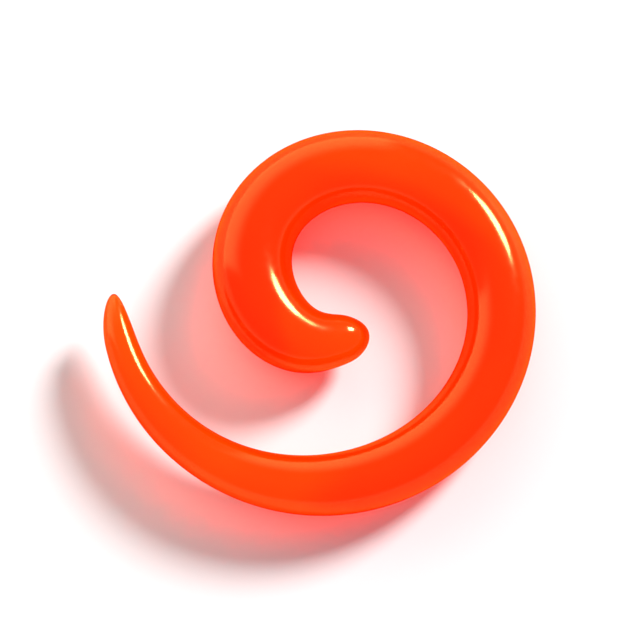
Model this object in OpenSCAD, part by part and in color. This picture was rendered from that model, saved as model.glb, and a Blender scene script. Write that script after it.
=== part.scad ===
// Spiral ear taper: one round rod of cast acrylic, bent flat into a coil of about one and a third turns.
// The blunt nose is at the middle of the coil. The rod is fattest soon after the nose, keeps nearly that
// thickness through the inner curl, and then thins evenly to the tip of the tail on the outer turn.
// The taper lies on its side as it would by itself. The origin is under the middle of its bounding box,
// on the surface that it lies on, with +Z up.

/* [Rod] */
// Thickness of the rod at its fattest place, which is the gauge that it is worn at
gauge_d = 6; // [5:0.1:6.6]
// Length that the blunt nose is rounded over
nose_round = 1.9; // [1.2:0.1:4]
// Length that the slim tip of the tail is rounded over
tail_round = 4; // [2:0.1:6]

/* [Coil] */
// Angle that the rod turns through, from the nose to the tip of the tail
coil_turn = 472; // [450:1:485]
// Size of every bend, as a share of its radius in the table of stations
coil_size = 1; // [0.95:0.01:1.1]
// Direction that the rod leaves the nose in, anticlockwise from +X
nose_heading = 204; // [180:1:230]

/* [Rest] */
// Angle that the plane of the coil leans by when the taper lies on a flat surface
lean = 1.41; // [0:0.01:3]
// Direction of the level line that the coil leans about, anticlockwise from +X
lean_line = 66; // [0:1:359]

/* [Fineness] */
// Number of sides round the rod
rod_sides = 24; // [16:4:36]
// Number of rings along the rod, without those of its rounded ends
rod_rings = 96; // [60:1:130]
// Number of rings in each rounded end
end_rings = 8; // [4:1:12]

/* [Hidden] */

// The rod at its stations. Columns: share of the coil's turn, radius of the bend of the centre line
// in millimetres, and thickness of the rod as a share of the gauge.
SHARE = 0;
BEND = 1;
THICK = 2;
STATIONS = [
    [0.00, 13.2, 0.51],
    [0.05,  5.3, 0.76],
    [0.11,  4.4, 0.90],
    [0.20,  7.0, 1.00],
    [0.32,  7.4, 0.97],
    [0.46,  9.8, 0.91],
    [0.62, 12.2, 0.86],
    [0.78, 14.6, 0.80],
    [0.90, 14.6, 0.56],
    [1.00, 15.8, 0.34],
];

// Short steps that the length and the course of the rod are added up over
COURSE_STEPS = 944;

// Slope of a column at station i, taken across its neighbours
function slope(column, i) =
    let (a = STATIONS[max(i - 1, 0)], b = STATIONS[min(i + 1, len(STATIONS) - 1)])
    (b[column] - a[column]) / (b[SHARE] - a[SHARE]);

// Station at the start of the span that a share of the turn falls in
function span_start(share) =
    max([for (i = [0:len(STATIONS) - 2]) if (i == 0 || STATIONS[i][SHARE] <= share) i]);

// Value of a column at any share of the turn, on a smooth curve through the stations
function station_value(column, share) =
    let (
        i = span_start(share),
        a = STATIONS[i],
        b = STATIONS[i + 1],
        span = b[SHARE] - a[SHARE],
        u = (share - a[SHARE]) / span,
        v = 1 - u
    )
    a[column] * v * v * (1 + 2 * u) + b[column] * u * u * (1 + 2 * v)
    + span * u * v * (slope(column, i) * v - slope(column, i + 1) * u);

// The course of the centre line in the coil's own plane, a row [x, y, length so far] for each short step
function heading(share) = nose_heading - coil_turn * share;
function step_length(share) =
    coil_size * station_value(BEND, share) * coil_turn / COURSE_STEPS * PI / 180;
course = [
    for (
        i = 0, at = [0, 0, 0];
        i <= COURSE_STEPS;
        share = (i + 0.5) / COURSE_STEPS,
        along = step_length(share),
        at = at + along * [cos(heading(share)), sin(heading(share)), 1],
        i = i + 1
    )
    at
];
rod_length = course[COURSE_STEPS][2];

// Point of the course at any share of the turn
function course_at(share) =
    let (i = min(floor(share * COURSE_STEPS), COURSE_STEPS - 1), u = share * COURSE_STEPS - i)
    course[i] * (1 - u) + course[i + 1] * u;

// Share of the turn at a length along the rod, for the rings that are spaced by length in the ends
function share_at(along) = lookup(along, [for (i = [0:COURSE_STEPS]) [course[i][2], i / COURSE_STEPS]]);

// Radius of the rod at a share of the turn, brought down to a point along a quarter ellipse at each end
function end_factor(from_end, round_length) =
    from_end >= round_length ? 1 : sqrt(1 - pow(1 - max(from_end, 0) / round_length, 2));
function rod_radius(share) =
    let (along = course_at(share)[2])
    station_value(THICK, share) * gauge_d / 2
    * end_factor(along, nose_round) * end_factor(rod_length - along, tail_round);

// Shares of the turn at which the rod has a ring: close together in the ends, and evenly between them.
// The ends' first and last points aren't rings, because the rod closes to one point there.
nose_share = share_at(nose_round);
tail_share = share_at(rod_length - tail_round);
ring_shares = [
    for (i = [1:end_rings]) share_at(nose_round * (1 - cos(90 * i / end_rings))),
    for (i = [1:rod_rings]) nose_share + (tail_share - nose_share) * i / (rod_rings + 1),
    for (i = [end_rings:-1:1]) share_at(rod_length - tail_round * (1 - cos(90 * i / end_rings)))
];

// A ring of the rod, square to the centre line, with its corners clockwise as seen from the nose
function ring(share) =
    let (centre = course_at(share), out = heading(share) + 90, r = rod_radius(share))
    [for (k = [0:rod_sides - 1])
        let (a = 360 * k / rod_sides)
        [centre[0] + r * cos(a) * cos(out), centre[1] + r * cos(a) * sin(out), r * sin(a)]];

flat_points = [
    [course[0][0], course[0][1], 0],
    for (share = ring_shares) each ring(share),
    [course[COURSE_STEPS][0], course[COURSE_STEPS][1], 0]
];

// The same points with the coil leaning as it rests, and then moved to stand over the origin
function turned_z(a) = [[cos(a), -sin(a), 0], [sin(a), cos(a), 0], [0, 0, 1]];
function turned_x(a) = [[1, 0, 0], [0, cos(a), -sin(a)], [0, sin(a), cos(a)]];
lean_turn = turned_z(lean_line) * turned_x(lean) * turned_z(-lean_line);
leaned_points = [for (p = flat_points) lean_turn * p];
function lowest(axis) = min([for (p = leaned_points) p[axis]]);
function highest(axis) = max([for (p = leaned_points) p[axis]]);
under_middle = [(lowest(0) + highest(0)) / 2, (lowest(1) + highest(1)) / 2, lowest(2)];
rod_points = [for (p = leaned_points) p - under_middle];

// Triangles: a fan at the nose, a band of pairs between each two rings, and a fan at the tail
ring_count = len(ring_shares);
tail_point = ring_count * rod_sides + 1;
function corner(i, k) = 1 + i * rod_sides + k % rod_sides;
rod_faces = [
    for (k = [0:rod_sides - 1]) [0, corner(0, k), corner(0, k + 1)],
    for (i = [0:ring_count - 2], k = [0:rod_sides - 1]) each [
        [corner(i, k), corner(i + 1, k), corner(i + 1, k + 1)],
        [corner(i, k), corner(i + 1, k + 1), corner(i, k + 1)]
    ],
    for (k = [0:rod_sides - 1]) [corner(ring_count - 1, k + 1), corner(ring_count - 1, k), tail_point]
];

module spiral_taper() {
    color("orangered") polyhedron(points = rod_points, faces = rod_faces, convexity = 6);
}

spiral_taper();
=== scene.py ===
"""A spiral ear taper of clear orange acrylic, lying on a white table."""

import math

import bmesh
import bpy
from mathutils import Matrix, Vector


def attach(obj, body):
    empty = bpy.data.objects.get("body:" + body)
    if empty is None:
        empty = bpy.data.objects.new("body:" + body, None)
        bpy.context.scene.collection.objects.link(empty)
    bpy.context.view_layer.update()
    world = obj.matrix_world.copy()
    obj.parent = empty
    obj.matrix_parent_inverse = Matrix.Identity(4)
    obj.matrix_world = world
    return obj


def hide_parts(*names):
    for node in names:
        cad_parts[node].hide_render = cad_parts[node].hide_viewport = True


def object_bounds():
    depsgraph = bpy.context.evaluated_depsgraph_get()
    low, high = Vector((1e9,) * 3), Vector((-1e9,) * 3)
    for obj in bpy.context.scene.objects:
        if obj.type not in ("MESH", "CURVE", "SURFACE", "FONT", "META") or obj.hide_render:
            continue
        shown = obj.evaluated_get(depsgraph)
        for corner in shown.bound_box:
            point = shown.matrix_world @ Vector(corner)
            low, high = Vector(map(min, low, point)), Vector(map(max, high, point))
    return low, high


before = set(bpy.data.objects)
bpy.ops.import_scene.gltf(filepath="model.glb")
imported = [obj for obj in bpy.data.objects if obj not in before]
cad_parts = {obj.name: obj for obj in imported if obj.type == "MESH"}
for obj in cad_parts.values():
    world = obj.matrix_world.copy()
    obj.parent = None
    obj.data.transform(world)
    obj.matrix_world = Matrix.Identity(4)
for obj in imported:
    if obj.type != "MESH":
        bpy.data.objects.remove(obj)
cad_low, cad_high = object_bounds()

# The rod: one piece of dyed clear acrylic, turned to a taper, softened with heat, bent flat into a coil and
# buffed until it shines. Its mesh is a copy of the taper's solid, welded, with its triangles paired into the
# bands that run round the rod, and rounded off from there.
MM = 0.001
WELD = 0.001 * MM
PAIR_ANGLE = math.radians(40)
ANY_SHAPE = math.pi
ROUNDING_LEVELS = 2

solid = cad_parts["spiral_taper"]
bands = bmesh.new()
bands.from_mesh(solid.data)
bmesh.ops.remove_doubles(bands, verts=bands.verts, dist=WELD)
bmesh.ops.join_triangles(
    bands,
    faces=bands.faces,
    angle_face_threshold=PAIR_ANGLE,
    angle_shape_threshold=ANY_SHAPE,
)
for face in bands.faces:
    face.smooth = True
rod_mesh = bpy.data.meshes.new("rod")
bands.to_mesh(rod_mesh)
bands.free()
rod = bpy.data.objects.new("rod", rod_mesh)
bpy.context.scene.collection.objects.link(rod)
rounding = rod.modifiers.new("rounding", "SUBSURF")
rounding.levels = ROUNDING_LEVELS
rounding.render_levels = ROUNDING_LEVELS

# The acrylic: it swallows more green and blue the further light goes through. It also has a painted glow, an
# even orange emission though it is no lamp, which brightens the body and casts red light on the table near
# it.
# The coat has no shine of its own, and only tints what the surface shows, most of all along the rims.
ACRYLIC_IOR = 1.49
CLEARNESS = 0.92
DYE_COLOUR = (0.99, 0.3, 0.1, 1.0)
DYE_PER_METRE = 250.0
PAINTED_GLOW_COLOUR = (1.0, 0.035, 0.0, 1.0)
PAINTED_GLOW = 0.5
SHINE_COLOUR = (1.0, 0.93, 0.7, 1.0)
COAT = 1.0
COAT_IOR = 1.0
COAT_COLOUR = (0.97, 0.78, 0.4, 1.0)
COAT_ROUGHNESS = 0.1

acrylic = bpy.data.materials.new("orange_acrylic")
acrylic.use_nodes = True
nodes = acrylic.node_tree.nodes
links = acrylic.node_tree.links
shader = nodes["Principled BSDF"]
shader.inputs["IOR"].default_value = ACRYLIC_IOR
shader.inputs["Transmission Weight"].default_value = CLEARNESS
shader.inputs["Specular Tint"].default_value = SHINE_COLOUR
shader.inputs["Coat Weight"].default_value = COAT
shader.inputs["Coat IOR"].default_value = COAT_IOR
shader.inputs["Coat Roughness"].default_value = COAT_ROUGHNESS
shader.inputs["Coat Tint"].default_value = COAT_COLOUR
# Painted glow: the acrylic gives off orange light of its own, as if lit from within.
shader.inputs["Emission Color"].default_value = PAINTED_GLOW_COLOUR
shader.inputs["Emission Strength"].default_value = PAINTED_GLOW
dye = nodes.new("ShaderNodeVolumeAbsorption")
dye.inputs["Color"].default_value = DYE_COLOUR
dye.inputs["Density"].default_value = DYE_PER_METRE
links.new(dye.outputs["Volume"], nodes["Material Output"].inputs["Volume"])

# The dye lies a little unevenly. Buffing left slow shallow waves in the surface, and fine scuffs in places.
# Each of the three is a soft noise through the acrylic.
CLOUD_SIZE = 7 * MM
THIN_DYE = (1.0, 0.165, 0.002, 1.0)
THICK_DYE = (1.0, 0.125, 0.0, 1.0)
SCUFF_SIZE = 0.7 * MM
SMOOTHEST = 0.11
ROUGHEST = 0.17
WAVE_LENGTH = 3 * MM
WAVE_HEIGHT = 0.012 * MM
NOISE_LOW = 0.3
NOISE_HIGH = 0.7
place = nodes.new("ShaderNodeTexCoord")


def noise(size, detail):
    """Soft noise through the acrylic, with blotches of the size given."""
    texture = nodes.new("ShaderNodeTexNoise")
    texture.inputs["Scale"].default_value = 1 / size
    texture.inputs["Detail"].default_value = detail
    links.new(place.outputs["Object"], texture.inputs["Vector"])
    return texture.outputs["Fac"]


def stretched(value, low, high):
    """Noise whose middle range is stretched to go from low to high."""
    stretch = nodes.new("ShaderNodeMapRange")
    links.new(value, stretch.inputs["Value"])
    stretch.inputs["From Min"].default_value = NOISE_LOW
    stretch.inputs["From Max"].default_value = NOISE_HIGH
    stretch.inputs["To Min"].default_value = low
    stretch.inputs["To Max"].default_value = high
    return stretch.outputs["Result"]


clouds = nodes.new("ShaderNodeMix")
clouds.data_type = "RGBA"
links.new(stretched(noise(CLOUD_SIZE, detail=2), 0, 1), clouds.inputs["Factor"])
clouds.inputs["A"].default_value = THICK_DYE
clouds.inputs["B"].default_value = THIN_DYE
links.new(clouds.outputs["Result"], shader.inputs["Base Color"])
links.new(stretched(noise(SCUFF_SIZE, detail=4), SMOOTHEST, ROUGHEST), shader.inputs["Roughness"])
waves = nodes.new("ShaderNodeBump")
waves.inputs["Distance"].default_value = WAVE_HEIGHT
links.new(noise(WAVE_LENGTH, detail=1), waves.inputs["Height"])
links.new(waves.outputs["Normal"], shader.inputs["Normal"])

rod_mesh.materials.clear()
rod_mesh.materials.append(acrylic)
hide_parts("spiral_taper")
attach(rod, "root")

# The table: a plain matt sheet, lit until it is white. Its palest pink is painted light: it tints the
# shadows as red light thrown from orange acrylic would. It is made far larger than the taper, so that its
# edges are never seen.
TABLE_SIZE = 6.0
TABLE_COLOUR_WITH_PAINTED_BOUNCE = (0.73, 0.68, 0.68, 1.0)
TABLE_ROUGHNESS = 0.6

sheet = bmesh.new()
bmesh.ops.create_grid(sheet, x_segments=1, y_segments=1, size=TABLE_SIZE / 2)
table_mesh = bpy.data.meshes.new("table")
sheet.to_mesh(table_mesh)
sheet.free()
table = bpy.data.objects.new("table", table_mesh)
bpy.context.scene.collection.objects.link(table)
matt = bpy.data.materials.new("white_table")
matt.use_nodes = True
matt_shader = matt.node_tree.nodes["Principled BSDF"]
# Painted red bounce light: the pale pink shows only where the table lies in shadow.
matt_shader.inputs["Base Color"].default_value = TABLE_COLOUR_WITH_PAINTED_BOUNCE
matt_shader.inputs["Roughness"].default_value = TABLE_ROUGHNESS
table_mesh.materials.append(matt)

# The room: cool white walls low down all round, a dim ceiling of the same white, and a wide window with
# warmer light at the back left, which draws the broad bands on the rod. The angles where each of them fades
# are in degrees, up from the table for tops, and anticlockwise from +X for the window's sides.
WALLS = 1.12
CEILING = 0.35
ROOM_COLOUR = (0.9, 0.93, 1.0, 1.0)
WINDOW = 2.6
WINDOW_COLOUR = (1.0, 0.98, 0.85, 1.0)
WALLS_TOP = (4, 16)
WINDOW_TOP = (22, 60)
WINDOW_RIGHT = (76, 81)
WINDOW_LEFT = (166, 172)

room = bpy.data.worlds.new("room")
bpy.context.scene.world = room
room.use_nodes = True
nodes = room.node_tree.nodes
links = room.node_tree.links
direction = nodes.new("ShaderNodeTexCoord")
sides = nodes.new("ShaderNodeSeparateXYZ")
links.new(direction.outputs["Generated"], sides.inputs["Vector"])


def worked_out(operation, *values):
    """The result of one step of arithmetic on one or two values."""
    step = nodes.new("ShaderNodeMath")
    step.operation = operation
    for value, socket in zip(values, step.inputs):
        links.new(value, socket)
    return step.outputs["Value"]


def light(colour, strength):
    """Light of one colour from the room, as strong in each direction as the strength says."""
    source = nodes.new("ShaderNodeBackground")
    source.inputs["Color"].default_value = colour
    links.new(strength, source.inputs["Strength"])
    return source.outputs["Background"]


def faded(angle, fade, before, after):
    """A strength that goes softly from one value to another while an angle passes through the fade."""
    step = nodes.new("ShaderNodeMapRange")
    step.interpolation_type = "SMOOTHSTEP"
    links.new(angle, step.inputs["Value"])
    step.inputs["From Min"].default_value = math.radians(fade[0])
    step.inputs["From Max"].default_value = math.radians(fade[1])
    step.inputs["To Min"].default_value = before
    step.inputs["To Max"].default_value = after
    return step.outputs["Result"]


elevation = worked_out("ARCSINE", sides.outputs["Z"])
azimuth = worked_out("ARCTAN2", sides.outputs["Y"], sides.outputs["X"])
walls = faded(elevation, WALLS_TOP, WALLS, CEILING)
window = faded(elevation, WINDOW_TOP, WINDOW, 0)
window = worked_out("MULTIPLY", window, faded(azimuth, WINDOW_RIGHT, 0, 1))
window = worked_out("MULTIPLY", window, faded(azimuth, WINDOW_LEFT, 1, 0))
nodes.remove(nodes["Background"])
room_light = nodes.new("ShaderNodeAddShader")
links.new(light(ROOM_COLOUR, walls), room_light.inputs[0])
links.new(light(WINDOW_COLOUR, window), room_light.inputs[1])
links.new(room_light.outputs["Shader"], nodes["World Output"].inputs["Surface"])

# The lamp: a round soft one, far off at the back right. It draws the thin highlights on the rod, and throws
# the rod's soft shadow on the table.
LAMP_DIRECTION = Vector((0.635, 0.575, 0.515))
LAMP_WIDTH = math.radians(17)
LAMP_STRENGTH = 6.1

lamp_data = bpy.data.lights.new("lamp", "SUN")
lamp_data.angle = LAMP_WIDTH
lamp_data.energy = LAMP_STRENGTH
lamp = bpy.data.objects.new("lamp", lamp_data)
lamp.rotation_euler = (-LAMP_DIRECTION).to_track_quat("-Z", "Y").to_euler()
bpy.context.scene.collection.objects.link(lamp)

# The camera: above the taper, at the angle that the photograph was taken from. Light takes many turns to
# find its way through the acrylic.
CAMERA_ELEVATION = math.radians(74)
CAMERA_LENS = 200.0
CAMERA_DISTANCE = 263.6 * MM
NEAREST_SEEN = 5 * MM
LIGHT_BOUNCES = 24

view = bpy.context.scene.view_settings
view.view_transform = "Standard"
view.exposure = 0.0
bpy.context.scene.cycles.max_bounces = LIGHT_BOUNCES
bpy.context.scene.cycles.transmission_bounces = LIGHT_BOUNCES
middle = (cad_low + cad_high) / 2
to_camera = Vector((0.0, -math.cos(CAMERA_ELEVATION), math.sin(CAMERA_ELEVATION)))
camera_data = bpy.data.cameras.new("camera")
camera_data.lens = CAMERA_LENS
camera_data.clip_start = NEAREST_SEEN
camera = bpy.data.objects.new("camera", camera_data)
camera.location = middle + to_camera * CAMERA_DISTANCE
camera.rotation_euler = (-to_camera).to_track_quat("-Z", "Y").to_euler()
bpy.context.scene.collection.objects.link(camera)
bpy.context.scene.camera = camera
